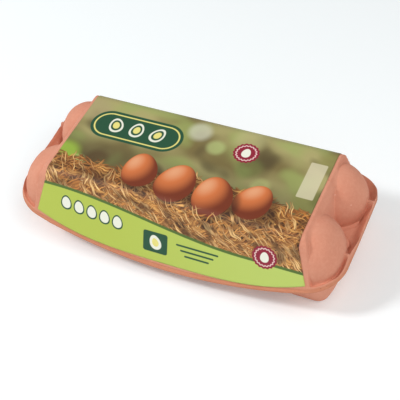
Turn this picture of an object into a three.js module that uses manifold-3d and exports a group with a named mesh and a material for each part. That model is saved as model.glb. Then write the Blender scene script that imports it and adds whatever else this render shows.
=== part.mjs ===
// A shut ten-egg carton of moulded pulp, with a printed paper label glued over its lid.
// Millimetres, +Z up, X along the carton, the opening flap at -Y and the hinge at +Y.
// The carton stands on its ten cup feet at Z = 0.
import * as THREE from 'three';
import { mergeVertices } from 'three/addons/utils/BufferGeometryUtils.js';
import Module from 'manifold-3d';

// ---------------------------------------------------------------- driving dimensions

const LID_HEIGHT = 68;         // flat top of the lid above the feet
const RIM_HALF_LENGTH = 134.3; // rim line: where the end walls of the lid stop
const RIM_HALF_WIDTH = 57.1;
const RIM_CORNER = 22;         // corner radius of the rim line, seen from above
const RIM_LEVEL = 33.5;        // lower edge of the lid at the ends and the back
const FLAP_LEVEL = 11.5;       // lower edge of the flap in the middle of the front
const PANEL_DRAFT = 0.34;      // how far a wall leans out for each millimetre down
const END_DRAFT = 0.06;        // the same for the nearly upright wall across an end
const CREASE_RADIUS = 10;      // long creases between the flat top and the panels

const BAND_HALF_LENGTH = 105.7; // flat band that carries the label
const BAND_END_DRAFT = 0.2;
const BAND_END_ROUND = 2.5;
const BAND_END_EASE = 1.6;      // how far its top end edge is eased back
const BAND_ROOT_LEVEL = 35;     // below this the band is hidden inside the belt
const BAND_WALL_LEVEL = 44;
const SEAT = 0.05;              // the band sits this far inside the rim's outer face

const BELT_LEVEL = 41.6;       // ridge of the raised belt in the middle of an end
const BELT_CORNER_DROP = 2.2;  // how much lower it runs at the corners
const BELT_FOOT = 7.6;         // width of the belt at the gutter floor
const BELT_ROUND = 0.6;        // height of the rounding along its ridge
const BELT_CROWN_START = 0.7;  // the crown of the ridge, measured in from the outer face
const BELT_CROWN_END = 1.5;
const GUTTER_FILLET = 0.7;
const GUTTER_LEVEL = 31.5;     // floor between the belt and the lobes
const FLOOR_UNDERSIDE = 30;
const FLOOR_INSET = 3.2;       // edge of that underside, inside the rim line
const WALL = 2.4;              // pulp thickness at the free edge

// How deep the pieces on the gutter floor are rooted in it: no two end at one level.
const ROOT_LEVELS = { lobe: 30.5, band: 30.7, wedge: 30.9, web: 31.1 };

const EGG_PITCH = 52.5;
const ROW_OFFSET = 27.1;       // each row of eggs from the middle line
const LOBE_RADIUS_X = 25.5;
const LOBE_RADIUS_Y = 26.2;
const LOBE_WAIST = 34.7;       // level where a lobe is widest
const LOBE_TOP = 66.3;
const LOBE_FULLNESS = 2.17;    // 2 would be an ellipse, more is fuller
const LOBE_FOOT_SHARE = 0.985; // width of its root next to its waist

const WEDGE_TOP = 67;          // sloping facet between the two lobes of an end
const WEDGE_REACH = 119.5;
const WEDGE_FOOT = 37;
const WEDGE_HALF_FACE = 6;
const WEDGE_SIDE_SLOPE = 1.1;
const WEDGE_ROOT = 10;          // how far its back end is sunk in the band

const WEB_LEVEL = 39;          // little rib that ties a lobe to the belt
const WEB_WIDTH = 2.6;
const WEB_ROOT = 6;            // how far it is sunk in the lobe
const WEB_END_INSET = 3.6;     // the rib ends inside the belt

const PLATE_UNDERSIDE = 28.2;  // rim plate of the tray, inside the lid's edge
const PLATE_INSET = 4.2;
const PLATE_TOP = 30.6;
const PLATE_CHAMFER = 0.8;
const PLATE_CHAMFER_LEVEL = 29.2;
const HINGE_HALF_LENGTH = 106;
const HINGE_INSET = 1.2;
const HINGE_DEPTH = 6;
const HINGE_BOTTOM = 28.7;
const HINGE_TOP = 34.5;

const CUP_LEVELS = [0, 1.4, 11, 22, 30.6];
const CUP_HALF_X = [15.2, 16.6, 20, 23.2, 25];
const CUP_HALF_Y = [16.8, 18.2, 21.2, 24, 25.6];
const CUP_CORNER = [7.5, 8.5, 11, 13.5, 15];

const LABEL_HALF_LENGTH = 102; // along the flat top
const LABEL_FLARE = 8;         // how much longer each end is at the lower corners
const LABEL_CORNER_LEVEL = 33;
const LABEL_MIDDLE_LEVEL = 17.6;
const LABEL_CURVE = 3.15;      // power of the curve of the label's lower edge
const LABEL_BACK_LEVEL = 40;
const LABEL_GAP = 0.3;
const LABEL_THICKNESS = 0.4;

const CREASE_STEPS = 6;        // facets round a long crease, in the pulp and in the label

const PULP = { color: 0xd98a75, roughness: 0.95, metalness: 0 };
const PAPER = { color: 0xb4c455, roughness: 0.5, metalness: 0 };

// ---------------------------------------------------------------- derived sizes

const PANEL_ANGLE = Math.atan2(1, PANEL_DRAFT);
const CREASE_DEPTH = CREASE_RADIUS * (1 - Math.cos(PANEL_ANGLE));
const TOP_HALF_WIDTH = RIM_HALF_WIDTH + (RIM_LEVEL - LID_HEIGHT) * PANEL_DRAFT
  - CREASE_RADIUS * Math.tan(PANEL_ANGLE / 2);
const FLAP_REACH = (RIM_LEVEL - FLAP_LEVEL) * PANEL_DRAFT;
const MIDDLE_SHIFT = FLAP_REACH / 2; // puts the box of the whole on the middle line

// ---------------------------------------------------------------- mesh helpers

const wasm = await Module();
wasm.setup();

/** Triangles of the side through rings of equal length, without the two ends. */
function sideTriangles(rings) {
  const count = rings[0].length;
  const triangles = [];
  for (let row = 0; row + 1 < rings.length; row++) {
    for (let i = 0; i < count; i++) {
      const a = row * count + i;
      const b = row * count + (i + 1) % count;
      triangles.push(a, b, b + count, a, b + count, a + count);
    }
  }
  return triangles;
}

/** Closed geometry through rings of equal length, listed upwards, each anticlockwise from above. */
function loft(rings) {
  const count = rings[0].length;
  const vertices = rings.flat();
  const triangles = sideTriangles(rings);
  const last = (rings.length - 1) * count;
  const bottom = vertices.push(middle(rings[0])) - 1;
  const top = vertices.push(middle(rings.at(-1))) - 1;
  for (let i = 0; i < count; i++) {
    const next = (i + 1) % count;
    triangles.push(bottom, next, i, top, last + i, last + next);
  }
  const geometry = new THREE.BufferGeometry().setFromPoints(vertices);
  geometry.setIndex(triangles);
  return geometry;
}

/** Mean point of a ring. */
function middle(ring) {
  const sum = ring.reduce((total, point) => total.add(point), new THREE.Vector3());
  return sum.divideScalar(ring.length);
}

/** A closed geometry as a solid that can be joined. */
function solid(geometry) {
  const bare = geometry.clone();
  bare.deleteAttribute('normal');
  bare.deleteAttribute('uv');
  const merged = mergeVertices(bare, 1e-4);
  return new wasm.Manifold(new wasm.Mesh({
    numProp: 3,
    vertProperties: new Float32Array(merged.attributes.position.array),
    triVerts: new Uint32Array(merged.index.array),
  }));
}

/** A solid back as a three.js geometry. */
function geometryOf(body) {
  const mesh = body.getMesh();
  const geometry = new THREE.BufferGeometry();
  geometry.setAttribute('position', new THREE.BufferAttribute(mesh.vertProperties, 3));
  geometry.setIndex(new THREE.BufferAttribute(mesh.triVerts, 1));
  geometry.computeVertexNormals();
  return geometry;
}

/** Rounded rectangle seen from above, as a ring at one level. */
function roundedRing(halfX, halfY, radius, level, steps, centreX = 0, centreY = 0) {
  const ring = [];
  for (let corner = 0; corner < 4; corner++) {
    const signX = corner === 0 || corner === 3 ? 1 : -1;
    const signY = corner < 2 ? 1 : -1;
    for (let i = 0; i <= steps; i++) {
      const angle = (corner + i / steps) * Math.PI / 2;
      ring.push(new THREE.Vector3(
        centreX + signX * (halfX - radius) + radius * Math.cos(angle),
        centreY + signY * (halfY - radius) + radius * Math.sin(angle),
        level,
      ));
    }
  }
  return ring;
}

// ---------------------------------------------------------------- outline of the rim

const SIDE_STEPS = { front: 22, end: 10, back: 4 };
const CORNER_STEPS = 8;
const CORNER_DROP_START = 24; // the belt starts to run lower this far from the middle line
const CORNER_DROP_END = 50;
const FRONT_LEAN_START = 6;   // an end wall starts to lean this far forward of the middle line
const FRONT_LEAN_END = 34;
const BACK_LEAN_START = 42;   // and this far behind it
const BACK_LEAN_END = 57;

/** Points of the rim line with their outward directions, anticlockwise from above. */
function rimStations() {
  const alongX = RIM_HALF_LENGTH - RIM_CORNER;
  const alongY = RIM_HALF_WIDTH - RIM_CORNER;
  const stations = [];
  const side = (fromX, fromY, toX, toY, outX, outY, steps) => {
    for (let i = 1; i < steps; i++) {
      const t = i / steps;
      stations.push({
        x: THREE.MathUtils.lerp(fromX, toX, t),
        y: THREE.MathUtils.lerp(fromY, toY, t),
        outX,
        outY,
      });
    }
  };
  const corner = (centreX, centreY, startAngle) => {
    for (let i = 0; i <= CORNER_STEPS; i++) {
      const angle = startAngle + (i / CORNER_STEPS) * Math.PI / 2;
      const outX = Math.cos(angle);
      const outY = Math.sin(angle);
      stations.push({
        x: centreX + RIM_CORNER * outX,
        y: centreY + RIM_CORNER * outY,
        outX,
        outY,
      });
    }
  };
  side(-alongX, -RIM_HALF_WIDTH, alongX, -RIM_HALF_WIDTH, 0, -1, SIDE_STEPS.front);
  corner(alongX, -alongY, -Math.PI / 2);
  side(RIM_HALF_LENGTH, -alongY, RIM_HALF_LENGTH, alongY, 1, 0, SIDE_STEPS.end);
  corner(alongX, alongY, 0);
  side(alongX, RIM_HALF_WIDTH, -alongX, RIM_HALF_WIDTH, 0, 1, SIDE_STEPS.back);
  corner(-alongX, alongY, Math.PI / 2);
  side(-RIM_HALF_LENGTH, alongY, -RIM_HALF_LENGTH, -alongY, -1, 0, SIDE_STEPS.end);
  corner(-alongX, -alongY, Math.PI);
  return stations;
}

/** Lower edge of the lid: level at the ends and the back, sagging to the flap at the front. */
function edgeLevel(x, y) {
  if (y > 0) return RIM_LEVEL;
  const share = Math.min(Math.abs(x) / RIM_HALF_LENGTH, 1);
  return FLAP_LEVEL + (RIM_LEVEL - FLAP_LEVEL) * share ** 2;
}

/** Ridge level of the belt, which runs lower towards the corners. */
function beltLevel(y) {
  const share = THREE.MathUtils.smoothstep(Math.abs(y), CORNER_DROP_START, CORNER_DROP_END);
  return BELT_LEVEL - BELT_CORNER_DROP * share;
}

/** Distance outside the rim line of the drafted outer face at a level. */
function faceOffset(level, draft = PANEL_DRAFT) {
  return (RIM_LEVEL - level) * draft;
}

/** Draft of the outer face by its place across the carton: upright in the middle of an end. */
function draftAt(y) {
  const lean = y < 0
    ? THREE.MathUtils.smoothstep(-y, FRONT_LEAN_START, FRONT_LEAN_END)
    : THREE.MathUtils.smoothstep(y, BACK_LEAN_START, BACK_LEAN_END);
  return THREE.MathUtils.lerp(END_DRAFT, PANEL_DRAFT, lean);
}

// ---------------------------------------------------------------- pieces of the carton

/** Lower part of the lid: flap, outer walls, belt and gutter floor as one dish. */
function rimBody() {
  const stations = rimStations();
  const profile = [
    () => [-FLOOR_INSET, FLOOR_UNDERSIDE],
    ({ edge, draft }) => [faceOffset(edge, draft) - WALL, edge],
    ({ edge, draft }) => [faceOffset(edge, draft), edge],
    ({ belt, draft }) => [faceOffset(belt - BELT_ROUND, draft), belt - BELT_ROUND],
    ({ belt, draft }) => [faceOffset(belt, draft) - BELT_CROWN_START, belt],
    ({ belt, draft }) => [faceOffset(belt, draft) - BELT_CROWN_END, belt - BELT_ROUND],
    () => [GUTTER_FILLET - BELT_FOOT, GUTTER_LEVEL + GUTTER_FILLET],
    () => [-GUTTER_FILLET - BELT_FOOT, GUTTER_LEVEL],
  ];
  const rings = profile.map((place) => stations.map(({ x, y, outX, outY }) => {
    const [offset, level] = place({
      edge: edgeLevel(x, y),
      belt: beltLevel(y),
      draft: draftAt(y),
    });
    return new THREE.Vector3(x + outX * offset, y + outY * offset, level);
  }));
  return loft(rings);
}

/** Half length of the band at a level, with its top edge rounded over. */
function bandHalfLength(level) {
  const depth = LID_HEIGHT - level;
  const round = Math.max(1 - depth / BAND_END_ROUND, 0);
  return BAND_HALF_LENGTH + depth * BAND_END_DRAFT - BAND_END_EASE * round ** 2;
}

/** Half width of the band at a level: rooted in the belt, panel, round crease, flat top. */
function bandHalfWidth(level) {
  if (level <= BAND_ROOT_LEVEL) return RIM_HALF_WIDTH - PLATE_INSET;
  const depth = LID_HEIGHT - level;
  if (depth >= CREASE_DEPTH) return RIM_HALF_WIDTH + faceOffset(level) - SEAT;
  const rise = CREASE_RADIUS - depth;
  return TOP_HALF_WIDTH + Math.sqrt(CREASE_RADIUS ** 2 - rise ** 2) - SEAT;
}

/** Flat-topped band across the lid, from the gutter floor to the flat top. */
function bandBody() {
  const cornerSteps = 3;
  const levels = [ROOT_LEVELS.band, BAND_ROOT_LEVEL, BAND_ROOT_LEVEL + 1, BAND_WALL_LEVEL];
  for (let i = CREASE_STEPS; i >= 0; i--) {
    const angle = PANEL_ANGLE * i / CREASE_STEPS;
    levels.push(LID_HEIGHT - CREASE_RADIUS * (1 - Math.cos(angle)));
  }
  return loft(levels.map((level) => roundedRing(
    bandHalfLength(level),
    bandHalfWidth(level),
    BAND_END_ROUND,
    level,
    cornerSteps,
  )));
}

/** Egg-shaped end lobe, a dome turned about its own upright axis. */
function lobeBody(signX, signY) {
  const steps = 9;
  const sides = 32;
  const outline = [
    new THREE.Vector2(0, ROOT_LEVELS.lobe),
    new THREE.Vector2(LOBE_RADIUS_X * LOBE_FOOT_SHARE, ROOT_LEVELS.lobe),
  ];
  for (let i = 0; i <= steps; i++) {
    const share = Math.cos((i / steps) * Math.PI / 2);
    const height = Math.sqrt(Math.max(1 - share ** LOBE_FULLNESS, 0));
    outline.push(new THREE.Vector2(
      i === steps ? 0 : LOBE_RADIUS_X * share,
      LOBE_WAIST + (LOBE_TOP - LOBE_WAIST) * height,
    ));
  }
  const dome = new THREE.LatheGeometry(outline, sides);
  dome.rotateX(Math.PI / 2);
  dome.scale(1, LOBE_RADIUS_Y / LOBE_RADIUS_X, 1);
  dome.translate(signX * 2 * EGG_PITCH, signY * ROW_OFFSET, 0);
  return dome;
}

/** Sloping facet between the two lobes of one end, with flanks that run down behind them. */
function wedgeBody(sign) {
  const root = BAND_HALF_LENGTH - WEDGE_ROOT;
  const slope = (WEDGE_REACH - BAND_HALF_LENGTH) / (WEDGE_TOP - WEDGE_FOOT);
  const ring = (level) => {
    const tip = BAND_HALF_LENGTH + (WEDGE_TOP - level) * slope;
    const flank = WEDGE_HALF_FACE + (WEDGE_TOP - level) / WEDGE_SIDE_SLOPE;
    const points = [
      [root, -flank],
      [BAND_HALF_LENGTH, -flank],
      [tip, -WEDGE_HALF_FACE],
      [tip, WEDGE_HALF_FACE],
      [BAND_HALF_LENGTH, flank],
      [root, flank],
    ];
    return points.map(([x, y]) => new THREE.Vector3(sign * x, sign * y, level));
  };
  return loft([ring(ROOT_LEVELS.wedge), ring(WEDGE_TOP)]);
}

/** Little rib between a lobe and the belt. */
function webBody(signX, signY) {
  const from = 2 * EGG_PITCH + LOBE_RADIUS_X - WEB_ROOT;
  const to = RIM_HALF_LENGTH - WEB_END_INSET;
  const height = WEB_LEVEL - ROOT_LEVELS.web;
  const web = new THREE.BoxGeometry(to - from, WEB_WIDTH, height);
  web.translate(signX * (from + to) / 2, signY * ROW_OFFSET, WEB_LEVEL - height / 2);
  return web;
}

/** Rim plate of the tray, which the lid's edge overlaps. */
function plateBody() {
  const halfX = RIM_HALF_LENGTH - PLATE_INSET;
  const halfY = RIM_HALF_WIDTH - PLATE_INSET;
  const corner = RIM_CORNER - PLATE_INSET;
  const cornerSteps = 6;
  const ring = (inset, level) => (
    roundedRing(halfX - inset, halfY - inset, corner - inset, level, cornerSteps));
  return loft([
    ring(PLATE_CHAMFER, PLATE_UNDERSIDE),
    ring(0, PLATE_CHAMFER_LEVEL),
    ring(0, PLATE_TOP),
  ]);
}

/** Straight hinge that joins the lid to the tray along the back. */
function hingeBody() {
  const height = HINGE_TOP - HINGE_BOTTOM;
  const hinge = new THREE.BoxGeometry(2 * HINGE_HALF_LENGTH, HINGE_DEPTH, height);
  hinge.translate(0, RIM_HALF_WIDTH - HINGE_INSET - HINGE_DEPTH / 2, HINGE_BOTTOM + height / 2);
  return hinge;
}

/** One tapering cup of the tray, standing on its flat foot. */
function cupBody(centreX, centreY) {
  const cornerSteps = 4;
  return loft(CUP_LEVELS.map((level, i) => roundedRing(
    CUP_HALF_X[i],
    CUP_HALF_Y[i],
    CUP_CORNER[i],
    level,
    cornerSteps,
    centreX,
    centreY,
  )));
}

/** The whole moulding: lid, hinge and tray are one piece of pulp. */
function cartonGeometry() {
  const pieces = [bandBody(), plateBody(), hingeBody(), wedgeBody(1), wedgeBody(-1)];
  for (const signY of [-1, 1]) {
    for (const signX of [-1, 1]) {
      pieces.push(lobeBody(signX, signY), webBody(signX, signY));
    }
    for (let column = -2; column <= 2; column++) {
      pieces.push(cupBody(column * EGG_PITCH, signY * ROW_OFFSET));
    }
  }
  const joined = pieces.reduce((body, piece) => body.add(solid(piece)), solid(rimBody()));
  return geometryOf(joined);
}

// ---------------------------------------------------------------- the paper label

/** Lower edge level of the label on the front panel, at a share of its half length. */
function labelEdge(share) {
  const rise = LABEL_CORNER_LEVEL - LABEL_MIDDLE_LEVEL;
  return LABEL_MIDDLE_LEVEL + rise * Math.abs(share) ** LABEL_CURVE;
}

/** Point of the label: share of the half length, place along the profile, height off the pulp. */
function labelPoint(share, side, place, lift) {
  const creaseLevel = LID_HEIGHT - CREASE_DEPTH;
  const radius = CREASE_RADIUS + lift;
  let halfLength = LABEL_HALF_LENGTH;
  let y = TOP_HALF_WIDTH;
  let z = LID_HEIGHT + lift;
  if (place <= 1) {
    const angle = place * PANEL_ANGLE;
    y += radius * Math.sin(angle);
    z += radius * (Math.cos(angle) - 1);
  } else {
    const edge = side < 0 ? labelEdge(share) : LABEL_BACK_LEVEL;
    const level = THREE.MathUtils.lerp(creaseLevel, edge, place - 1);
    y = RIM_HALF_WIDTH + faceOffset(level) + lift * Math.sin(PANEL_ANGLE);
    z = level + lift * Math.cos(PANEL_ANGLE);
    const flareShare = (creaseLevel - level) / (creaseLevel - LABEL_CORNER_LEVEL);
    halfLength += LABEL_FLARE * Math.min(flareShare, 1);
  }
  return new THREE.Vector3(share * halfLength, side * y, z);
}

/** Sheet of paper bent over the band, front edge first, as one thin closed shell. */
function labelGeometry() {
  const lengthSteps = 20;
  const panelPlaces = [2, 1.5];
  const creasePlaces = [];
  for (let i = CREASE_STEPS; i >= 0; i--) creasePlaces.push(i / CREASE_STEPS);
  const front = [...panelPlaces, ...creasePlaces].map((place) => [-1, place]);
  const back = [...front].reverse().map(([, place]) => [1, place]);
  const places = [...front, ...back];
  const rings = [];
  for (let i = 0; i <= lengthSteps; i++) {
    const share = -1 + 2 * i / lengthSteps;
    const inner = places.map(([side, place]) => labelPoint(share, side, place, LABEL_GAP));
    const outer = places.map(([side, place]) => (
      labelPoint(share, side, place, LABEL_GAP + LABEL_THICKNESS)));
    rings.push([...inner, ...outer.reverse()]);
  }
  return strip(rings);
}

/** Closed geometry through thin rings whose two ends are closed by pairs of their points. */
function strip(rings) {
  const count = rings[0].length;
  const triangles = sideTriangles(rings);
  const last = (rings.length - 1) * count;
  for (let i = 0; i + 1 < count / 2; i++) {
    const mirror = count - 1 - i;
    triangles.push(i, mirror, mirror - 1, i, mirror - 1, i + 1);
    triangles.push(last + i, last + mirror - 1, last + mirror);
    triangles.push(last + i, last + i + 1, last + mirror - 1);
  }
  const geometry = new THREE.BufferGeometry().setFromPoints(rings.flat());
  geometry.setIndex(triangles);
  geometry.computeVertexNormals();
  return geometry;
}

// ---------------------------------------------------------------- scene graph

const group = new THREE.Group();
group.position.y = MIDDLE_SHIFT;

const carton = new THREE.Mesh(cartonGeometry(), new THREE.MeshStandardMaterial(PULP));
carton.name = 'carton';
group.add(carton);

const label = new THREE.Mesh(labelGeometry(), new THREE.MeshStandardMaterial(PAPER));
label.name = 'label';
group.add(label);

export default group;
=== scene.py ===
import bmesh
import bpy
import numpy as np
from mathutils import Matrix, Vector


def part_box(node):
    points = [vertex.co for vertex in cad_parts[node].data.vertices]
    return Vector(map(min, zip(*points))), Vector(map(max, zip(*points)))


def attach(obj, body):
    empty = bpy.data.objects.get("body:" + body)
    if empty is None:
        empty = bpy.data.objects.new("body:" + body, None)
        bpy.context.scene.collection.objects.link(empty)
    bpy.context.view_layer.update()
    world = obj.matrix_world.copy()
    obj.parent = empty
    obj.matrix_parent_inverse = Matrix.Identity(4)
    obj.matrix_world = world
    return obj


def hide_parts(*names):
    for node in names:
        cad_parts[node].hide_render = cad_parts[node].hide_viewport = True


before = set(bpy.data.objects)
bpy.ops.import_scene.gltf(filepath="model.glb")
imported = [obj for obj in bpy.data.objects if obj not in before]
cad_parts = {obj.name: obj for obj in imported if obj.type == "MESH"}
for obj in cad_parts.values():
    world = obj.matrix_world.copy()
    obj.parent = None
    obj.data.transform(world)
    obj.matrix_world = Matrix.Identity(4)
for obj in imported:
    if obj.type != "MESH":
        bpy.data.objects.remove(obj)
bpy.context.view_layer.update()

# ---------------------------------------------------------------- tray
# The lower half of the moulding: ten tapering cups in two rows that hang from a flat rim.
# Waste-paper pulp dyed salmon pink, sucked onto a wire mould and dried, so it is matt and
# a little fibrous. The shut lid hides everything above the rim.

mm = 0.001
carton_low, carton_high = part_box("carton")
panel_draft = 0.34  # how far a wall leans out for each metre down
rim_level = 33.5 * mm
flap_level = 11.5 * mm
flap_reach = (rim_level - flap_level) * panel_draft
rim_half_length = carton_high.x
rim_half_width = (carton_high.y - carton_low.y - flap_reach) / 2
rim_corner = 24 * mm
middle_y = carton_high.y - rim_half_width  # between the two rows of eggs
spine_half_length = 97 * mm

egg_pitch = 52.5 * mm
row_offset = 27.1 * mm
foot_half_x = 15.2 * mm
foot_half_y = 16.8 * mm
foot_corner = 7.5 * mm
foot_ease = 0.5 * mm
foot_round = 1.8 * mm
dimple_depth = 0.7 * mm
dimple_inset = 4 * mm
dimple_slope = 2 * mm  # length of the slope round the dimple
cup_height = 30.6 * mm
cup_flare = 8.8 * mm
cup_power = 0.7
climb_past_flare = 5
ceiling_level = 28.2 * mm
ceiling_round = 3 * mm
plate_inset = 2.4 * mm
plate_top = 32.6 * mm
plate_foot = 29.0 * mm
plate_round = 0.9 * mm
plate_return = 1.4 * mm  # how far its underside's flat rim reaches back in
weld_distance = 0.02 * mm


def blend_min(a, b, radius):
    """The smaller of two fields, with their crease filled by a round of about that radius."""
    share = np.clip(0.5 - 0.5 * (a - b) / radius, 0, 1)
    return b + (a - b) * share - radius * share * (1 - share)


def blend_max(a, b, radius):
    """The larger of two fields, with their crease filled in the same way."""
    return -blend_min(-a, -b, radius)


def ease(low, high, value):
    """0 below low, 1 above high and 3t^2 - 2t^3 between them."""
    share = np.clip((value - low) / (high - low), 0, 1)
    return share * share * (3 - 2 * share)


def box_distance(x, y, half_x, half_y, corner):
    """Distance outside a rounded rectangle: that from the rectangle shrunk by the corner
    radius, less the radius. It is negative inside."""
    beyond_x = np.abs(x) - half_x + corner
    beyond_y = np.abs(y) - half_y + corner
    outside = np.hypot(np.maximum(beyond_x, 0), np.maximum(beyond_y, 0))
    return outside + np.minimum(np.maximum(beyond_x, beyond_y), 0) - corner


def rim_line(coarse, fine):
    """Points round the rim and their outward directions, anticlockwise. One quarter runs
    along the front in coarse steps, then past the band's end and round the corner in fine
    ones, and is mirrored twice, so that front and back points pair across the middle."""
    straight_x = rim_half_length - rim_corner
    straight_y = rim_half_width - rim_corner

    def spread(start, stop, length, step):
        return np.linspace(start, stop, round(length / step) + 1)

    along = spread(0, spine_half_length, spine_half_length, coarse)
    near = spread(spine_half_length, straight_x, straight_x - spine_half_length, fine)
    turn = spread(-np.pi / 2, 0, rim_corner * np.pi / 2, fine)
    end = spread(-straight_y, 0, straight_y, fine)
    front = np.concatenate([along, near[1:]])
    quarter = np.concatenate([
        np.stack([front, -rim_half_width + 0 * front, 0 * front, -1 + 0 * front], 1),
        np.stack([straight_x + rim_corner * np.cos(turn), -straight_y + rim_corner * np.sin(turn),
                  np.cos(turn), np.sin(turn)], 1)[1:],
        np.stack([rim_half_length + 0 * end, end, 1 + 0 * end, 0 * end], 1)[1:],
    ])
    right = np.concatenate([quarter, (quarter * [1, -1, 1, -1])[-2::-1]])
    whole = np.concatenate([right, (right * [-1, 1, -1, 1])[-2:0:-1]])
    return whole.T


def inward(start_x, start_y, height, rows, turn_weight=1.6 * mm, steps=900, smoothings=4):
    """Surface rows from a closed outline in to the spine, the middle line between the two
    fans of the ends. The straight plan line of each outline point is cut in short steps,
    the height field gives their levels, and the rows are spread evenly by the length run,
    plus a share for every change of slope, so that creases get more rows. The lengths are
    smoothed from line to line first, so that the rows run on without a jump."""
    spine = np.clip(start_x, -spine_half_length, spine_half_length)
    share = np.linspace(0, 1, steps)
    x = start_x[:, None] + (spine - start_x)[:, None] * share
    y = start_y[:, None] * (1 - share)
    z = height(x, y)
    run = np.hypot(np.diff(x), np.diff(y))
    climb = np.arctan2(np.diff(z), run)
    length = np.hypot(run, np.diff(z))
    length[:, 1:] += turn_weight * np.abs(np.diff(climb))
    for _ in range(smoothings):
        length = (np.roll(length, 1, 0) + 2 * length + np.roll(length, -1, 0)) / 4
    run_up = np.concatenate([0 * length[:, :1], np.cumsum(length, 1)], 1)
    run_up /= run_up[:, -1:]
    lane = 2 * np.arange(len(start_x))[:, None]
    at = np.interp((lane + np.linspace(0, 1, rows)).ravel(), (run_up + lane).ravel(),
                   np.tile(share, len(start_x))).reshape(-1, rows)
    x = start_x[:, None] + (spine - start_x)[:, None] * at
    y = start_y[:, None] * (1 - at)
    return np.stack([x, y, height(x, y)], -1).transpose(1, 0, 2)


def ring(x, y, level):
    """One row of points at a level, which may be one number or one for each point."""
    return np.stack([x, y, level + 0 * x], -1)[None]


def wobble(points, depth):
    """Uneven drying: each point moves along the surface's normal by a sum of three slow
    waves, sines of its place, up to about the depth given for it."""
    along = np.roll(points, -1, 1) - np.roll(points, 1, 1)
    across = np.gradient(points, axis=0)
    normal = np.cross(along, across)
    normal /= np.maximum(np.linalg.norm(normal, axis=-1, keepdims=True), 1e-12)
    x, y, z = np.moveaxis(points, -1, 0)
    long_wave = np.sin(310 * x + 130 * z + 1.1) * np.sin(270 * y + 90 * z + 0.4)
    short_wave = 0.6 * np.sin(560 * x - 300 * y + 210 * z + 2.0)
    ripple = 0.4 * np.sin(820 * y + 640 * z - 150 * x + 0.7)
    wave = long_wave + short_wave + ripple
    return points + normal * (wave * depth / 2)[..., None]


def closed_mesh(name, rows):
    """Mesh of rows of points, each row closed on itself and the first and last lying along
    the spine, where their points pair and are merged. The normals are made to face out."""
    points = np.concatenate(rows)
    points[..., 1] += middle_y
    count, width = points.shape[:2]
    index = np.arange(count * width).reshape(count, width)
    beside = np.roll(index, -1, 1)
    quads = np.stack([index[:-1], beside[:-1], beside[1:], index[1:]], -1).reshape(-1, 4)
    mesh = bpy.data.meshes.new(name)
    mesh.from_pydata(points.reshape(-1, 3).tolist(), [], quads.tolist())
    work = bmesh.new()
    work.from_mesh(mesh)
    bmesh.ops.remove_doubles(work, verts=work.verts, dist=weld_distance)
    bmesh.ops.recalc_face_normals(work, faces=work.faces)
    for face in work.faces:
        face.smooth = True
    work.to_mesh(mesh)
    work.free()
    piece = bpy.data.objects.new(name, mesh)
    bpy.context.scene.collection.objects.link(piece)
    return piece


def cup_level(x, y):
    """Underside of the tray: the flat ceiling of the rim, blended with the wall of the
    nearest cup, which climbs steeply with the distance from the cup's foot outline. The
    sole of each foot has a shallow dimple."""
    column = np.clip(np.round(x / egg_pitch), -2, 2)
    out = box_distance(x - column * egg_pitch, np.abs(y) - row_offset,
                       foot_half_x, foot_half_y, foot_corner)
    climb = np.clip((out - foot_ease) / cup_flare, 0, 1)
    wall = cup_height * (1 - (1 - climb) ** cup_power)
    wall = wall + np.maximum(out - foot_ease - cup_flare, 0) * climb_past_flare
    wall = wall - (out < 0) * foot_round
    sole = dimple_depth * (1 - ease(-dimple_inset - dimple_slope, -dimple_inset, out))
    return blend_min(blend_max(wall, sole, foot_round), ceiling_level + 0 * x, ceiling_round)


class Wire:
    """An output of a material's node. Python's operators on it add Math nodes."""

    tree = None

    def __init__(self, socket):
        self.socket = socket

    @classmethod
    def node(cls, kind, settings=None, sockets=None, out=0):
        """Adds a node of a kind: its settings first, then its sockets' values or links."""
        made = cls.tree.nodes.new(kind)
        for key, value in (settings or {}).items():
            setattr(made, key, value)
        for key, value in (sockets or {}).items():
            if isinstance(value, Wire):
                cls.tree.links.new(value.socket, made.inputs[key])
            else:
                made.inputs[key].default_value = value
        return cls(made.outputs[out])

    def other(self, out):
        """Another output of the same node."""
        return Wire(self.socket.node.outputs[out])

    @classmethod
    def math(cls, operation, *values):
        """A Math node on wires and numbers."""
        return cls.node("ShaderNodeMath", {"operation": operation}, dict(enumerate(values)))

    def __add__(self, other):
        return self.math("ADD", self, other)

    __radd__ = __add__

    def __sub__(self, other):
        return self.math("SUBTRACT", self, other)

    def __rsub__(self, other):
        return self.math("SUBTRACT", other, self)

    def __mul__(self, other):
        return self.math("MULTIPLY", self, other)

    __rmul__ = __mul__

    def __truediv__(self, other):
        return self.math("DIVIDE", self, other)

    def __abs__(self):
        return self.math("ABSOLUTE", self)

    def root(self):
        """Its square root."""
        return self.math("SQRT", self)

    def clipped(self):
        """It, kept between 0 and 1."""
        return self.node("ShaderNodeClamp", None, {"Value": self})

    def between(self, low, high):
        """0 at low, 1 at high, eased between them. low may be the higher number."""
        return self.node("ShaderNodeMapRange", {"interpolation_type": "SMOOTHSTEP"},
                         {"Value": self, "From Min": low, "From Max": high})


def paint(red, green, blue):
    """A colour named by its three display values from 0 to 255."""
    shown = np.array([red, green, blue]) / 255
    linear = np.where(shown <= 0.04045, shown / 12.92, ((shown + 0.055) / 1.055) ** 2.4)
    return (*linear.tolist(), 1.0)


def mixed(share, under, over, blend="MIX"):
    """Two colours mixed, the second over the first by a share."""
    settings = {"data_type": "RGBA", "blend_type": blend, "clamp_factor": True}
    return Wire.node("ShaderNodeMix", settings, {0: share, 6: under, 7: over}, 2)


def noise(place, scale, detail=2.0, roughness=0.5):
    """Blender's noise of a place, from 0 to 1."""
    sockets = {"Vector": place, "Scale": scale, "Detail": detail, "Roughness": roughness}
    return Wire.node("ShaderNodeTexNoise", None, sockets)


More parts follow.
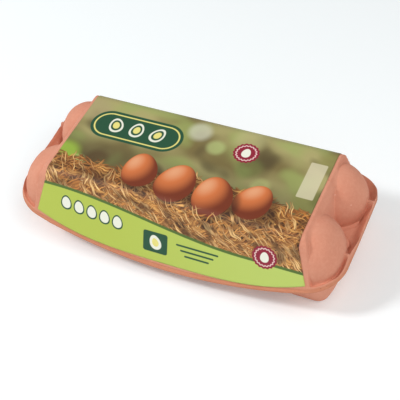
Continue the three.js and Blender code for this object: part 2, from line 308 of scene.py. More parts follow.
def stretched(place, scale, turn=(0, 0, 0)):
    """A place turned and then scaled by a different number along each axis."""
    turned = Wire.node("ShaderNodeVectorRotate", {"rotation_type": "EULER_XYZ"},
                       {"Vector": place, "Rotation": turn})
    return Wire.node("ShaderNodeVectorMath", {"operation": "MULTIPLY"}, {0: turned, 1: scale})


def relief(strength, distance, height):
    """A Bump node for the shader's Normal."""
    return Wire.node("ShaderNodeBump", None,
                     {"Strength": strength, "Distance": distance, "Height": height})


def attribute(name):
    """A number that the mesh carries at its points. It is 0 where the mesh has none."""
    return Wire.node("ShaderNodeAttribute", {"attribute_name": name}, None, 2)


def start_material(name):
    """A node material, and the Principled shader that the rest feeds."""
    material = bpy.data.materials.new(name)
    material.use_nodes = True
    Wire.tree = material.node_tree
    shader = Wire.tree.nodes["Principled BSDF"]
    return material, shader


def feed(shader, socket, wire):
    """Links a wire to one of the shader's sockets."""
    Wire.tree.links.new(wire.socket, shader.inputs[socket])


def pulp_material():
    """Salmon pulp: slow and fast mottling, faint streaks of fibre, a few pale and dark
    flecks, painted shade along the lid's lower edge and in the tight fold at the domes'
    feet, and a fine felt-like bump."""
    salmon = paint(214, 143, 117)
    warm_salmon = paint(219, 151, 125)
    pale_salmon = paint(226, 162, 137)
    pale_fibre = paint(230, 176, 152)
    dark_fibre = paint(196, 120, 94)
    pale_fleck = paint(240, 200, 180)
    dark_fleck = paint(150, 88, 66)
    # the next two tints are painted shade, multiplied in along the lid's lower edge and in the fold at
    # the domes' feet
    edge_shade_tint = paint(236, 226, 208)
    fold_shade_tint = paint(196, 172, 156)
    material, shader = start_material("pulp")
    shader.inputs["Specular IOR Level"].default_value = 0.25
    place = Wire.node("ShaderNodeTexCoord", None, None, 3)
    slow = noise(place, 45.0, 3.0)
    fast = noise(place, 420.0, 4.0, 0.65)
    fibre_a = noise(stretched(place, (260, 1500, 1500), (0.3, 0.5, 0.4)), 1.0, 3.0, 0.6)
    fibre_b = noise(stretched(place, (1500, 280, 1500), (0.7, 0.2, 1.1)), 1.0, 3.0, 0.6)
    colour = mixed(slow.between(0.3, 0.7), salmon, warm_salmon)
    colour = mixed(fast.between(0.35, 0.75) * 0.4, colour, pale_salmon)
    colour = mixed(fibre_a.between(0.55, 0.75) * 0.25, colour, pale_fibre)
    colour = mixed(fibre_b.between(0.58, 0.75) * 0.22, colour, dark_fibre)
    cells = Wire.node("ShaderNodeTexVoronoi", None, {"Vector": place, "Scale": 330.0})
    draw = Wire.node("ShaderNodeSeparateColor", None, {0: cells.other(1)})
    fleck = cells.between(0.22, 0.12)
    colour = mixed(fleck * draw.between(0.98, 0.985) * 0.55, colour, pale_fleck)
    colour = mixed(fleck * draw.other(1).between(0.98, 0.985) * 0.5, colour, dark_fleck)
    # painted shade: darker along the lid's lower edge
    colour = mixed(attribute("edge_painted_shade") * 0.8, colour, edge_shade_tint, "MULTIPLY")
    # painted shade: darker in the fold where the domes' feet face each other
    colour = mixed(attribute("fold_painted_shade") * 0.5, colour, fold_shade_tint, "MULTIPLY")
    feed(shader, "Base Color", colour)
    feed(shader, "Roughness", 0.86 + fast * 0.12)
    felt = noise(place, 1300.0, 3.0, 0.6)
    height = fast * 0.5 + felt * 0.3 + fibre_a * 0.25 + fibre_b * 0.25
    feed(shader, "Normal", relief(0.55, 0.16 * mm, height))
    return material


pulp = pulp_material()
rim_x, rim_y, out_x, out_y = rim_line(coarse=1.2 * mm, fine=0.9 * mm)
plate_x = rim_x - out_x * plate_inset
plate_y = rim_y - out_y * plate_inset
spine_x = np.clip(plate_x, -spine_half_length, spine_half_length)
tray_rows = [ring(spine_x, 0 * spine_x, plate_top)]
for turn in np.radians(np.linspace(90, -90, 9)):  # round the flange's edge, from top to foot
    back_in = plate_round * (1 - np.cos(turn))
    corner_level = plate_top - plate_round if turn > 0 else plate_foot + plate_round
    tray_rows.append(ring(plate_x - out_x * back_in, plate_y - out_y * back_in,
                          corner_level + plate_round * np.sin(turn)))
under_x = plate_x - out_x * plate_return
under_y = plate_y - out_y * plate_return
tray_rows.append(inward(under_x, under_y, cup_level, rows=90))
tray = closed_mesh("carton_tray", tray_rows)
tray.data.materials.append(pulp)
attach(tray, "root")
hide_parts("carton")

# ---------------------------------------------------------------- hinge
# The strip of the same pulp that joins the lid to the tray along the back. It is pressed
# thin in two grooves, where it folds, and stops short of the round corners.

hinge_half_length = 106 * mm
hinge_end_ease = 5 * mm
hinge_end_inset = 1.5 * mm
hinge_foot = 28.9 * mm
hinge_top = 34.3 * mm
hinge_inset = 2.3 * mm  # of its outer face from the rim line
hinge_wave = 0.55 * mm
hinge_inner_inset = 6.5 * mm
hinge_rows = 28
hinge_columns = 91


def hinge_strip():
    """Ring of the strip's section, carried along X. The outer face is a cosine of the
    height, two whole waves, so it swells between two grooves. The ring shifts inwards as
    it nears either end."""
    level = np.linspace(hinge_foot, hinge_top, hinge_rows)
    share = (level - hinge_foot) / (hinge_top - hinge_foot)
    outer = rim_half_width - hinge_inset - hinge_wave * np.cos(4 * np.pi * share)
    inner = rim_half_width - hinge_inner_inset + 0 * level
    section_y = np.concatenate([outer, inner[::-1]])
    section_z = np.concatenate([level, level[::-1]])
    x = np.linspace(-hinge_half_length, hinge_half_length, hinge_columns)
    near_end = ease(hinge_half_length - hinge_end_ease, hinge_half_length, np.abs(x))
    y = section_y - near_end[:, None] * hinge_end_inset
    return np.stack(np.broadcast_arrays(x[:, None], y, section_z), -1)


def end_cap(section):
    """A row whose points all lie in the section's middle, to close the strip's end."""
    return section.mean(1, keepdims=True) + 0 * section


strip = hinge_strip()
hinge = closed_mesh("carton_hinge", [end_cap(strip[:1]), strip, end_cap(strip[-1:])])
hinge.data.materials.append(pulp)
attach(hinge, "root")
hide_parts("carton")

# ---------------------------------------------------------------- lid
# The upper half of the moulding. A flat-topped band carries the label; past each end of it
# two domes take the shape of the end eggs, with a sloping facet between them, and a raised
# belt runs round outside them. The front wall hangs down as a curved flap.

lid_height = 68 * mm
crease_radius = 10 * mm
floor_level = 30 * mm
floor_inset = 3.2 * mm
panel_angle = np.arctan2(1, panel_draft)
top_half_width = (rim_half_width + (rim_level - lid_height) * panel_draft
                  - crease_radius * np.tan(panel_angle / 2))
end_draft = 0.06
front_lean_turn = (6 * mm, 34 * mm)
back_lean_turn = (42 * mm, 57 * mm)
flap_drop = 1.6 * mm  # how much lower than its parabola the flap's edge hangs in the middle
flap_turn = (118 * mm, 98 * mm)

# the band's end: a short facet that slopes down from the top, then a steep wall
band_half_length = 104.2 * mm
facet_slope = 1.3
facet_length = 4 * mm
facet_front_length = 3.3 * mm
facet_back_length = 0.5 * mm
facet_turn = (12 * mm, 36 * mm)
wall_slope = 5.5
facet_lead = 5 * mm  # how far inside the band's end its plane starts
facet_round = 2 * mm

# the domes over the end eggs
lobe_x = 2 * egg_pitch
lobe_radius_x = 24.8 * mm
lobe_inner_half = 26.2 * mm
lobe_front_half = 27.3 * mm
lobe_front_power = 2.6
lobe_back_half = 24.3 * mm
lobe_waist = 34.7 * mm
lobe_rise = 31.6 * mm
lobe_fullness = 2.25
lobe_wall_fall = 120 * mm  # for each further share of the way
lobe_round = 3 * mm

# the gutter round the domes, its crease at their feet and the belt along its outer side
gutter_level = 28.5 * mm
gutter_rise = 4.5 * mm
gutter_crease = 1.04
gutter_flat = 1.16
gutter_round = 0.6 * mm
gutter_corner_drop = 0.3 * mm
belt_level = 40.3 * mm
belt_sag = 1.4 * mm
belt_back_drop = 1.6 * mm
belt_front_rise = 4.6 * mm  # of its crest above the lid's edge, at the front corners
belt_width = 0.2 * mm
belt_slope = 1.1
belt_round = 3 * mm
belt_crest_round = 0.8 * mm
belt_turn = (28 * mm, 48 * mm)
belt_middle = (24 * mm, 8 * mm)
corner_round = 4 * mm
corner_turn = (35 * mm, 50 * mm)

# the thin ribs that tie each dome to the belt
web_level = 42.3 * mm
web_half_width = 1.1 * mm
web_side_slope = 3
web_length = 7 * mm
web_end_slope = 4
web_round = 1 * mm

# the rolled lower edge, and over it along the flap a shallow groove
bead_radius = 1.1 * mm
bead_swelling = 1.5 * mm
bead_proud = 0.07 * mm
bead_proud_growth = 0.4 * mm
bead_clearance = 0.9 * mm  # from the bead's top to the outer face's first row
groove_depth = 0.35 * mm
groove_top = 6 * mm
groove_start = 0.1
proud_fade = 0.6


def draft_at(rim_y):
    """Lean of the outer face by the y of its foot on the rim line: nearly upright in the
    middle of an end, eased into the lean of the front and back panels towards the corners."""
    lean = np.where(rim_y < 0, ease(*front_lean_turn, -rim_y), ease(*back_lean_turn, rim_y))
    return end_draft + (panel_draft - end_draft) * lean


def foot_y(x, y):
    """The y of the rim point that lies nearest to each point."""
    beyond_x = np.abs(x) - rim_half_length + rim_corner
    beyond_y = np.abs(y) - rim_half_width + rim_corner
    up_corner = np.clip(beyond_y, 1e-9, None)
    turn = up_corner / np.hypot(np.maximum(beyond_x, 0), up_corner)
    corner_y = rim_half_width - rim_corner + rim_corner * turn
    straight_y = np.where(beyond_y > beyond_x, rim_half_width, np.abs(y))
    return np.sign(y) * np.where((beyond_x > 0) & (beyond_y > 0), corner_y, straight_y)


def outer_level(out, draft):
    """Outer face by the distance outside the rim line: flat top, round crease, panel."""
    inside = out + rim_half_width - top_half_width
    part = np.clip(inside, 0, crease_radius * np.sin(panel_angle))
    crease = lid_height - crease_radius + np.sqrt(crease_radius**2 - part**2)
    return np.minimum(crease, rim_level - out / draft)


def lobe_reach(x, y):
    """How far from the middle of an end egg's dome a point lies, in shares of the way to
    the dome's foot. The foot is an ellipse, but the front dome's outer half is fuller, to
    fill the corner, and the back dome's is shorter."""
    beyond = np.abs(y) - row_offset
    power = np.where((beyond > 0) & (y < 0), lobe_front_power, 2)
    half = np.where(beyond < 0, lobe_inner_half, np.where(y < 0, lobe_front_half, lobe_back_half))
    sides = np.abs((np.abs(x) - lobe_x) / lobe_radius_x) ** power + np.abs(beyond / half) ** power
    return sides ** (1 / power)


def lobe_level(reach):
    """Dome over an end egg: a full ellipse above its waist, a steep wall below it."""
    full = 1 - np.clip(reach, 0, 1) ** lobe_fullness
    dome = lobe_waist + lobe_rise * np.sqrt(full)
    return np.where(reach < 1, dome, lobe_waist - (reach - 1) * lobe_wall_fall)


def edge_level(x, y):
    """Lower edge of the lid: level at the ends and the back, a parabola along the front."""
    share = np.clip(np.abs(x) / rim_half_length, 0, 1)
    return np.where(y < 0, flap_level + (rim_level - flap_level) * share**2, rim_level)


def belt_crest(x, y):
    """Level of the belt's crest, and that at the front corners alone. It sags between the
    domes, drops at the back, and towards the front corners it comes down to a fixed height
    above the lid's edge."""
    wide = np.abs(y)
    crest = belt_level - belt_back_drop * ease(*belt_turn, y) - belt_sag * ease(*belt_middle, wide)
    front_crest = edge_level(x, -wide) + belt_front_rise
    return crest + (front_crest - crest) * ease(*belt_turn, -y), front_crest


def lid_level(x, y):
    """Top of the lid: the outer face, cut down past the ends of the band to the highest of
    end wall, domes, sloping facet, gutter floor, belt and the ribs between dome and belt.
    The gutter's floor climbs from the crease at the domes' feet, and rises to just under
    the belt's crest at the front corners. All of them run into each other in rounds."""
    past_band = np.abs(x) - band_half_length
    wide = np.abs(y)
    out = box_distance(x, y, rim_half_length, rim_half_width, rim_corner)
    draft = draft_at(foot_y(x, y))

    outer_length = np.where(y < 0, facet_front_length, facet_back_length)
    length = facet_length + (outer_length - facet_length) * ease(*facet_turn, wide)
    facet = lid_height - np.maximum(past_band, -facet_lead) * facet_slope
    wall = lid_height - length * facet_slope - (past_band - length) * wall_slope
    reach = lobe_reach(x, y)
    level = blend_max(blend_min(facet, wall, facet_round), lobe_level(reach), lobe_round)

    crest, front_crest = belt_crest(x, y)
    corner = ease(*corner_turn, -y)
    gutter = gutter_level + gutter_rise * ease(gutter_crease, gutter_flat, reach)
    gutter = gutter + (front_crest - gutter_corner_drop - gutter) * corner
    level = blend_max(level, gutter, gutter_round + (corner_round - gutter_round) * corner)
    crest_out = (rim_level - crest) * draft - belt_width
    belt = crest - np.maximum(crest_out - out, 0) * belt_slope
    level = blend_max(level, belt, belt_round + (corner_round - belt_round) * corner)

    beside_web = np.maximum(np.abs(wide - row_offset) - web_half_width, 0)
    inside_web = np.maximum(-out - web_length, 0)
    web = web_level - beside_web * web_side_slope - inside_web * web_end_slope
    level = blend_max(level, web, web_round)
    return blend_min(outer_level(out, draft), level, belt_crest_round)


rim_x, rim_y, out_x, out_y = rim_line(coarse=3 * mm, fine=0.62 * mm)
flap_share = ease(*flap_turn, np.abs(rim_x)) * (rim_y < 0)
edge = edge_level(rim_x, rim_y) - flap_drop * flap_share
edge_draft = draft_at(rim_y)
edge_out = (rim_level - edge) * edge_draft


def at_offset(out, level):
    """A row of points outside the rim line by a distance, at a level."""
    return ring(rim_x + out_x * out, rim_y + out_y * out, level)


bead_size = bead_radius + bead_swelling * flap_share
proud = bead_proud + bead_proud_growth * flap_share
face_tilt = np.arctan(edge_draft)
bead_top = bead_size * (1 + np.sin(face_tilt))
bead_centre = edge_out - bead_top * edge_draft + proud - bead_size * np.cos(face_tilt)
spine_x = np.clip(rim_x, -spine_half_length, spine_half_length)
lid_rows = [ring(spine_x, 0 * spine_x, floor_level), at_offset(-floor_inset, floor_level)]
for step in np.linspace(0, 1, 18):  # round the bead, from its inner side to the outer face
    turn = np.pi + step * (np.pi + face_tilt)
    lid_rows.append(at_offset(bead_centre + bead_size * np.cos(turn),
                              edge + bead_size * (1 + np.sin(turn))))
low_rise = bead_top + bead_clearance
face_rise = low_rise + (groove_top - low_rise) * flap_share
for step in np.linspace(groove_start, 1, 12)[:-1]:  # up the groove, to just under the outer face
    rise = bead_top + (face_rise - bead_top) * step
    hollow = groove_depth * flap_share * np.sin(np.pi * step) ** 2
    swell = proud * ease(proud_fade, 0, step) - hollow
    lid_rows.append(at_offset(edge_out - rise * edge_draft + swell, edge + rise))
face_out = edge_out - face_rise * edge_draft
top_rows = inward(rim_x + out_x * face_out, rim_y + out_y * face_out, lid_level, rows=112)
wobble_depth = 0.16 * mm  # only past the band, where no label lies on the lid
wobble_turn = (103 * mm, 110 * mm)
lid_rows.append(wobble(top_rows, wobble_depth * ease(*wobble_turn, np.abs(top_rows[..., 0]))))
lid = closed_mesh("carton_lid", lid_rows)

# painted shade for the pulp, carried by the mesh in two tones: darker along the lower edge,
# and in the fold at the feet of the domes where they face each other
edge_shade_rise = (5 * mm, 3.2 * mm)
edge_shade_outside = (-3.5 * mm, -1.5 * mm)
fold_shade_level = (36.5 * mm, 34.6 * mm)
fold_shade_inner = (0.96, 0.99)
fold_shade_outer = (1.14, 1.1)
fold_shade_rows = (30 * mm, 24 * mm)
places = np.empty(3 * len(lid.data.vertices))
lid.data.vertices.foreach_get("co", places)
x, y, z = places.reshape(-1, 3).T
y = y - middle_y
outside = box_distance(x, y, rim_half_length, rim_half_width, rim_corner)
reach = lobe_reach(x, y)
# painted shade along the lower edge: how much darker, from the height above the edge and the distance in
# from the rim
edge_painted_shade = ease(*edge_shade_rise, z - edge_level(x, y)) * ease(*edge_shade_outside, outside)
# painted shade in the fold: low down between the domes, close to their feet
fold_painted_shade = ease(*fold_shade_level, z) * ease(*fold_shade_rows, np.abs(y))
fold_painted_shade *= ease(*fold_shade_inner, reach) * ease(*fold_shade_outer, reach)
for name, value in (("edge_painted_shade", edge_painted_shade), ("fold_painted_shade", fold_painted_shade)):
    layer = lid.data.attributes.new(name, "FLOAT", "POINT")
    layer.data.foreach_set("value", value)
lid.data.materials.append(pulp)
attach(lid, "root")
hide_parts("carton")

# ---------------------------------------------------------------- label
# A sheet of coated paper glued over the band, from the back panel over the top and down
# the flap, where its lower edge follows the flap's curve. The print is plain and general:
# eggs in straw before a blurred meadow, a lime field, a dark green plate and red seals.

label_half_length = 102 * mm
label_flare = 8 * mm
label_corner_level = 33 * mm
label_middle_level = 17.6 * mm
label_curve = 3.15
label_back_level = 40 * mm
label_lift = 0.35 * mm
label_thickness = 0.22 * mm
crease_depth = crease_radius * (1 - np.cos(panel_angle))
crease_level = lid_height - crease_depth
crease_length = crease_radius * panel_angle
panel_stretch = np.hypot(1, panel_draft)
front_length = top_half_width + crease_length + (crease_level - label_middle_level) * panel_stretch
back_length = top_half_width + crease_length + (crease_level - label_back_level) * panel_stretch
print_half_length = label_half_length + label_flare


def label_points(share, run):
    """Point of the sheet by its share of the half length and its run along the bent
    profile from the middle of the top, both from -1 to 1 where the sheet ends. The front
    end of the profile is longer in the middle than at the corners."""
    corner_rise = label_corner_level - label_middle_level
    front_low = label_middle_level + corner_rise * np.abs(share) ** label_curve
    low = np.where(run < 0, front_low, label_back_level)
    panel = (crease_level - low) * panel_stretch
    along = np.abs(run) * (top_half_width + crease_length + panel)
    bend = np.clip((along - top_half_width) / crease_radius, 0, panel_angle)
    down = np.maximum(along - top_half_width - crease_length, 0) / panel_stretch
    radius = crease_radius + label_lift
    y = np.minimum(along, top_half_width) + radius * np.sin(bend) + down * panel_draft
    z = lid_height + label_lift - radius * (1 - np.cos(bend)) - down
    flare = np.clip(down / (crease_level - label_corner_level), 0, 1)
    x = share * (label_half_length + label_flare * flare)
    return np.stack([x, np.sign(run) * y, z], -1), np.sign(run) * along


def sheet_mesh(name, columns, rows):
    """Grid of the sheet with a UV map of its print: U along the carton and V up the
    profile, both from 0 to 1 over the printed area."""
    share, run = np.meshgrid(np.linspace(-1, 1, columns), np.linspace(-1, 1, rows))
    points, along = label_points(share, run)
    points[..., 1] += middle_y
    index = np.arange(rows * columns).reshape(rows, columns)
    corners = [index[:-1, :-1], index[:-1, 1:], index[1:, 1:], index[1:, :-1]]
    quads = np.stack(corners, -1).reshape(-1, 4)
    mesh = bpy.data.meshes.new(name)
    mesh.from_pydata(points.reshape(-1, 3).tolist(), [], quads.tolist())
    across = (points[..., 0] / print_half_length + 1) / 2
    up = (along + front_length) / (front_length + back_length)
    flat = np.stack([across, up], -1).reshape(-1, 2)
    layer = mesh.uv_layers.new(name="print")
    layer.uv.foreach_set("vector", flat[quads.ravel()].ravel())
    mesh.shade_smooth()
    piece = bpy.data.objects.new(name, mesh)
    bpy.context.scene.collection.objects.link(piece)
    return piece


label = sheet_mesh("label_sheet", columns=181, rows=151)
paper = label.modifiers.new("paper", "SOLIDIFY")
paper.thickness = label_thickness
paper.offset = -1

# the print: its places are in millimetres, across from the middle of the sheet and up the
# bent profile from the middle of the top
material, shader = start_material("label_print")
shader.inputs["Specular IOR Level"].default_value = 0.4
uv = Wire.node("ShaderNodeUVMap", {"uv_map": "print"})
parts = Wire.node("ShaderNodeSeparateXYZ", None, {0: uv})
across = (parts - 0.5) * (2 * print_half_length / mm)
up = parts.other(1) * ((front_length + back_length) / mm) - front_length / mm


def plane(x, y):
    """A vector in the print's plane."""
    return Wire.node("ShaderNodeCombineXYZ", None, {0: x, 1: y})


sheet_place = plane(across, up)


def squared(wire):
    """A wire times itself."""
    return wire * wire


def disc(x, y, radius, soft):
    """1 inside a circle, eased to 0 over its soft edge."""
    off = (squared(across - x) + squared(up - y)).root()
    return off.between(radius + soft, radius - soft)


def bar(x, y, half_x, half_y, corner, soft=0.3):
    """1 inside a rounded rectangle, eased to 0 over its soft edge."""
    side = Wire.math("MAXIMUM", abs(across - x) - (half_x - corner), 0.0)
    rise = Wire.math("MAXIMUM", abs(up - y) - (half_y - corner), 0.0)
    return (squared(side) + squared(rise)).root().between(corner + soft, corner - soft)


def egg(x, y, half_wide, half_tall, turn=0.0):
    """An upright egg turned by an angle: how far each point lies across and along it, in its
    own half sizes, and the sum of their squares, which is 1 on its edge. It narrows upwards."""
    cos, sin = float(np.cos(turn)), float(np.sin(turn))
    off_x = across - x
    off_y = up - y
    tall = (off_y * cos - off_x * sin) / half_tall
    wide = (off_x * cos + off_y * sin) / half_wide * (1.0 + tall * 0.15)
    return wide, tall, squared(wide) + squared(tall)


# the blurred meadow behind everything: tall fields of olive, moss and brown with soft spots
blur = noise(stretched(sheet_place, (0.014, 0.022, 1)), 1.0, 2.0, 0.4)
blur_b = noise(stretched(sheet_place, (0.03, 0.036, 1), (0, 0, 0.5)), 1.0, 1.0, 0.4)
backdrop = mixed(blur.between(0.38, 0.6), paint(122, 108, 64), paint(174, 166, 110))
backdrop = mixed(blur_b.between(0.46, 0.66) * 0.7, backdrop, paint(158, 172, 98))
backdrop = mixed(blur_b.between(0.46, 0.3) * 0.75, backdrop, paint(78, 66, 40))
backdrop = mixed(up.between(12.0, -24.0) * 0.6, backdrop, paint(70, 64, 38))
for spot_x, spot_y, radius, tone, strength in (
    (-96, 28, 12, (172, 158, 116), 0.6),
    (-98, -24, 12, (156, 190, 66), 0.8),
    (-84, -30, 7, (198, 214, 128), 0.7),
    (-70, -22, 9, (84, 62, 36), 0.7),
    (-6, 30, 9, (214, 216, 190), 0.6),
    (12, 18, 7, (184, 198, 128), 0.6),
    (34, 34, 12, (190, 186, 130), 0.55),
    (44, 6, 10, (104, 112, 60), 0.6),
    (58, -8, 7, (184, 190, 122), 0.45),
    (96, -12, 12, (126, 130, 66), 0.6),
    (100, 30, 10, (150, 148, 84), 0.6),
):
    backdrop = mixed(disc(spot_x, spot_y, radius, radius * 0.4) * strength, backdrop, paint(*tone))

# straw: layers of long thin shards in a heap with two low swells
heap_top = -20.0
heap_slope = 0.03
heap_swell = 4.0
heap_shift = 20.0
heap_wave = 26.0  # how far one radian of the swell's sine runs
bed_top = -45.0
bed_swell = 2.5
bed_shift = -6.0
bed_wave = 9.0


def heap_ceiling(x):
    """Height of the heap's top along the print: a slow sine on a slight slope."""
    swell = Wire.math("SINE", (x + heap_shift) / heap_wave) * heap_swell
    return swell + x * heap_slope + heap_top


def bed_ceiling(x):
    """Height of the straw in front of the eggs: a quicker sine."""
    return Wire.math("SINE", (x + bed_shift) / bed_wave) * bed_swell + bed_top


def straw_layer(under, turn, length, width, cover, light, dark, seed, ceiling):
    """Adds one layer of straw. The plane is turned, bent by slow noise and cut in long thin
    cells; a draw by cell keeps those that start under the ceiling and gives each its tone."""
    bend = (noise(stretched(sheet_place, (0.045, 0.045, 1)), 1.0, 2.0, 0.5) - 0.5) * 18.0
    cos, sin = float(np.cos(turn)), float(np.sin(turn))
    along = across * cos + up * sin
    beside = up * cos - across * sin + bend
    cell_place = plane(along / length + seed, beside / width)
    cells = Wire.node("ShaderNodeTexVoronoi", {"voronoi_dimensions": "2D"},
                      {"Vector": cell_place, "Scale": 1.0})
    draw = Wire.node("ShaderNodeSeparateColor", None, {0: cells.other(1)})
    centre = Wire.node("ShaderNodeSeparateXYZ", None, {0: cells.other(2)})
    centre_along = (centre - seed) * length
    centre_beside = centre.other(1) * width - bend
    centre_up = centre_along * sin + centre_beside * cos
    centre_across = centre_along * cos - centre_beside * sin
    below = (ceiling(centre_across) - centre_up).between(-0.5, 0.5)
    kept = draw.between(1.01 - cover, 1.03 - cover) * below * cells.between(0.62, 0.5)
    tone = (draw.other(1) * 0.9 + 0.25) * cells.between(0.75, 0.1)
    strand = mixed(tone.clipped(), paint(*dark), paint(*light))
    return mixed(kept, under, strand)


heap_depth = heap_ceiling(across) - up + noise(sheet_place, 0.25, 3.0, 0.7) * 8.0 - 8.0
heap_tone = noise(stretched(sheet_place, (0.05, 0.4, 1), (0, 0, -0.3)), 1.0, 3.0, 0.7)
hollow = mixed(heap_tone.between(0.35, 0.65), paint(52, 32, 18), paint(118, 78, 36))
picture = mixed(heap_depth.between(-2.0, 2.0), backdrop, hollow)
for layer, (turn, length, width, cover, light, dark) in enumerate((  # straw behind the eggs
    (0.15, 16, 1.5, 0.7, (168, 104, 46), (70, 38, 20)),
    (-0.5, 15, 1.3, 0.6, (194, 126, 58), (84, 46, 24)),
    (0.9, 13, 1.2, 0.45, (218, 152, 80), (100, 56, 28)),
    (-0.2, 17, 1.1, 0.45, (236, 178, 98), (122, 70, 36)),
    (-1.1, 13, 1.1, 0.35, (248, 204, 134), (148, 90, 48)),
)):
    picture = straw_layer(picture, turn, length, width, cover, light, dark, layer * 7.3, heap_ceiling)
dim = noise(stretched(sheet_place, (0.06, 0.09, 1)), 1.0, 2.0, 0.6).between(0.56, 0.4)
picture = mixed(dim * heap_depth.between(0.0, 6.0) * 0.55, picture, paint(58, 36, 20))

# four brown eggs standing in the straw, lit from the upper left
for egg_x, egg_y, half_wide, half_tall, turn in (
    (-33, -22, 13.5, 17, 0.22),
    (59, -24, 13.5, 17, -0.28),
    (-2, -25, 15, 18.5, -0.12),
    (29, -28, 15, 18.5, 0.2),
):
    wide, tall, square = egg(egg_x, egg_y, half_wide, half_tall, turn)
    facing = (1.0 - Wire.math("MINIMUM", square, 1.0)).root()
    lit = (facing * 0.6 + tall * 0.42 - wide * 0.38).clipped()
    shell = mixed(lit.between(0.05, 0.75), paint(118, 50, 24), paint(214, 120, 66))
    shell = mixed(lit.between(0.6, 1.0) * 0.85, shell, paint(246, 196, 154))
    cast = squared(across - egg_x - 4.0) / (half_wide + 4) ** 2
    cast = cast + squared(up - egg_y + 5.0) / half_tall ** 2
    picture = mixed(cast.between(1.2, 0.6) * 0.6, picture, paint(52, 30, 16))
    picture = mixed(square.between(1.04, 0.97), picture, shell)

for layer, (turn, length, width, cover, light, dark) in enumerate((  # straw before them
    (0.3, 16, 1.3, 0.6, (208, 138, 70), (96, 52, 26)),
    (-0.35, 17, 1.2, 0.5, (238, 178, 100), (126, 74, 38)),
    (0.75, 13, 1.1, 0.4, (226, 162, 88), (112, 64, 32)),
    (-0.8, 14, 1.0, 0.4, (250, 208, 140), (152, 94, 50)),
)):
    picture = straw_layer(picture, turn, length, width, cover, light, dark, 60 + layer * 9.1, bed_ceiling)
dim = noise(stretched(sheet_place, (0.07, 0.12, 1), (0, 0, 0.7)), 1.0, 2.0, 0.6).between(0.52, 0.38)
picture = mixed(dim * (bed_ceiling(across) - up).between(0.0, 6.0) * 0.6, picture, paint(58, 36, 20))

# the lime field along the flap, its edge a long slope with a dark stripe
field_edge = across.between(-95.0, 60.0) * -17.0 - 55.0
lime = mixed(across.between(-60.0, 100.0), paint(184, 200, 82), paint(190, 210, 106))
picture = mixed((field_edge + 2.4 - up).between(-0.3, 0.3), picture, paint(84, 112, 48))
picture = mixed((field_edge - up).between(-0.3, 0.3), picture, lime)

# a blank pale field for a stamp, and a larger one on the back panel
picture = mixed(bar(92, 9, 6.5, 18, 1) * 0.66, picture, paint(226, 218, 186))
picture = mixed(bar(40, 59, 46, 9, 2) * 0.85, picture, paint(236, 238, 214))

# the dark green plate: a pill with a yellow line inside its edge and three pale eggs
plate_green = paint(34, 82, 56)
pale_yellow = paint(236, 226, 132)
shell_white = paint(240, 242, 226)
pill_x = -54
pill_y = 15
picture = mixed(bar(pill_x, pill_y, 39, 15, 15), picture, plate_green)
ring_line = bar(pill_x, pill_y, 36.4, 12.4, 12.4) - bar(pill_x, pill_y, 35.2, 11.2, 11.2)
picture = mixed(ring_line.clipped(), picture, pale_yellow)
for egg_x, turn in ((pill_x - 18, 0.35), (pill_x, 0.0), (pill_x + 18, -0.35)):
    square = egg(egg_x, pill_y + 0.5, 5.6, 7.6, turn)[2]
    picture = mixed(square.between(1.12, 0.95), picture, shell_white)
    picture = mixed(square.between(0.66, 0.5), picture, plate_green)
    picture = mixed(square.between(0.3, 0.18), picture, pale_yellow)


def seal(under, x, y, radius):
    """Adds a round crimson seal with a scalloped edge, a pale ring and a pale egg."""
    off_x = across - x
    off_y = up - y
    scallop = Wire.math("COSINE", Wire.math("ARCTAN2", off_y, off_x) * 18.0) * (0.035 * radius)
    off = (squared(off_x) + squared(off_y)).root() + scallop
    over = mixed(off.between(radius + 0.3, radius - 0.3), under, paint(146, 30, 54))
    line = off.between(radius * 0.84, radius * 0.78) * off.between(radius * 0.68, radius * 0.74)
    over = mixed(line, over, paint(236, 200, 196))
    return mixed(egg(x, y, radius * 0.34, radius * 0.45)[2].between(1.15, 0.9), over, shell_white)


picture = seal(picture, 36, 20, 10)
picture = seal(picture, 78, -66, 9.5)

# on the lime field: a row of small eggs, and a dark green tile with one more
for step in range(5):
    square = egg(-84 + step * 11.0, -67 - step * 1.2, 3.9, 5.3)[2]
    picture = mixed(square.between(1.5, 1.3), picture, plate_green)
    picture = mixed(square.between(0.95, 0.8), picture, shell_white)
tile_x = -8
tile_y = -80
picture = mixed(bar(tile_x, tile_y, 10, 9, 2), picture, plate_green)
for half_wide, half_tall, tone in ((4.6, 6.2, shell_white), (2.6, 3.6, pale_yellow)):
    square = egg(tile_x, tile_y, half_wide, half_tall, 0.3)[2]
    picture = mixed(square.between(1.1, 0.95), picture, tone)
for step in range(3):
    picture = mixed(bar(26, -76.5 - step * 4.2, 17 - step * 3.5, 0.8, 0.8), picture, plate_green)

feed(shader, "Base Color", picture)
feed(shader, "Roughness", 0.52 + noise(sheet_place, 0.8, 2.0) * 0.08)
feed(shader, "Normal", relief(0.15, 0.1 * mm, noise(sheet_place, 0.35, 3.0, 0.6)))
label.data.materials.append(material)
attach(label, "root")
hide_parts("label")

# ---------------------------------------------------------------- stage
# A plain white table top under a pale sky. A window at the upper left gives the key light,
# and a softbox, a reflector and a cool side light fill it in. The camera looks down on the
# front and the right end.

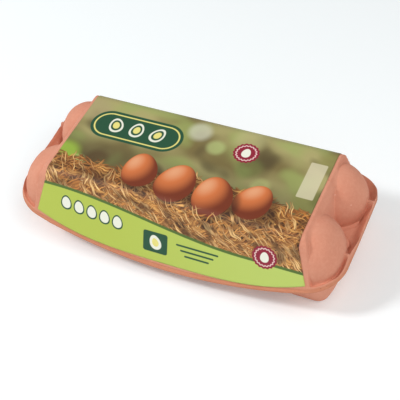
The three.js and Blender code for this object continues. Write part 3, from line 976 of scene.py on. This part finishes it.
floor_half = 3.0
floor_corners = [(-floor_half, -floor_half, 0), (floor_half, -floor_half, 0),
                 (floor_half, floor_half, 0), (-floor_half, floor_half, 0)]
floor_mesh = bpy.data.meshes.new("floor")
floor_mesh.from_pydata(floor_corners, [], [(0, 1, 2, 3)])
floor = bpy.data.objects.new("floor", floor_mesh)
bpy.context.scene.collection.objects.link(floor)
floor_material, floor_shader = start_material("floor_white")
floor_shader.inputs["Base Color"].default_value = (0.87, 0.92, 0.94, 1)
floor_shader.inputs["Emission Color"].default_value = (1, 1, 1, 1)
floor_shader.inputs["Emission Strength"].default_value = 0.13
floor_shader.inputs["Roughness"].default_value = 0.7
floor_shader.inputs["Specular IOR Level"].default_value = 0.1
floor.data.materials.append(floor_material)

world = bpy.data.worlds.new("sky")
world.use_nodes = True
world.node_tree.nodes["Background"].inputs["Color"].default_value = (1, 1, 1, 1)
world.node_tree.nodes["Background"].inputs["Strength"].default_value = 0.3
bpy.context.scene.world = world
bpy.context.scene.view_settings.view_transform = "Standard"

for name, place, size, power, tint in (
    ("window", (-0.86, -0.46, 1.12), 0.25, 9.3, (1, 0.99, 0.98)),
    ("softbox", (0.7, -0.25, 1.2), 1.0, 8.7, (1, 0.98, 0.96)),
    ("reflector", (0.9, -0.9, 0.7), 0.7, 1.5, (1, 0.9, 0.82)),
    ("side_light", (-1.15, 0.1, 0.3), 0.5, 2.2, (0.84, 0.96, 1)),
):
    lamp = bpy.data.lights.new(name, "AREA")
    lamp.energy = power
    lamp.color = tint
    lamp.size = size
    lamp_object = bpy.data.objects.new(name, lamp)
    lamp_object.location = place
    lamp_object.rotation_euler = (-Vector(place)).to_track_quat("-Z", "Y").to_euler()
    bpy.context.scene.collection.objects.link(lamp_object)

azimuth, elevation, roll = np.radians([28.93, 47.68, -7.12])
aim = Vector((0, middle_y, 33.95 * mm))
distance = 766.5 * mm
aside = 3.19 * mm
above = -7.01 * mm
focal_pixels = 986
image_pixels = 400
back = Vector((np.sin(azimuth) * np.cos(elevation), -np.cos(azimuth) * np.cos(elevation),
               np.sin(elevation)))
level_right = Vector((np.cos(azimuth), np.sin(azimuth), 0))
level_up = back.cross(level_right)
right = level_right * np.cos(roll) + level_up * np.sin(roll)
over = level_up * np.cos(roll) - level_right * np.sin(roll)
camera_data = bpy.data.cameras.new("camera")
camera_data.sensor_width = 36
camera_data.lens = camera_data.sensor_width * focal_pixels / image_pixels
camera = bpy.data.objects.new("camera", camera_data)
eye = aim + back * distance + right * aside + over * above
camera.matrix_world = Matrix.Translation(eye) @ Matrix((right, over, back)).transposed().to_4x4()
bpy.context.scene.collection.objects.link(camera)
bpy.context.scene.camera = camera
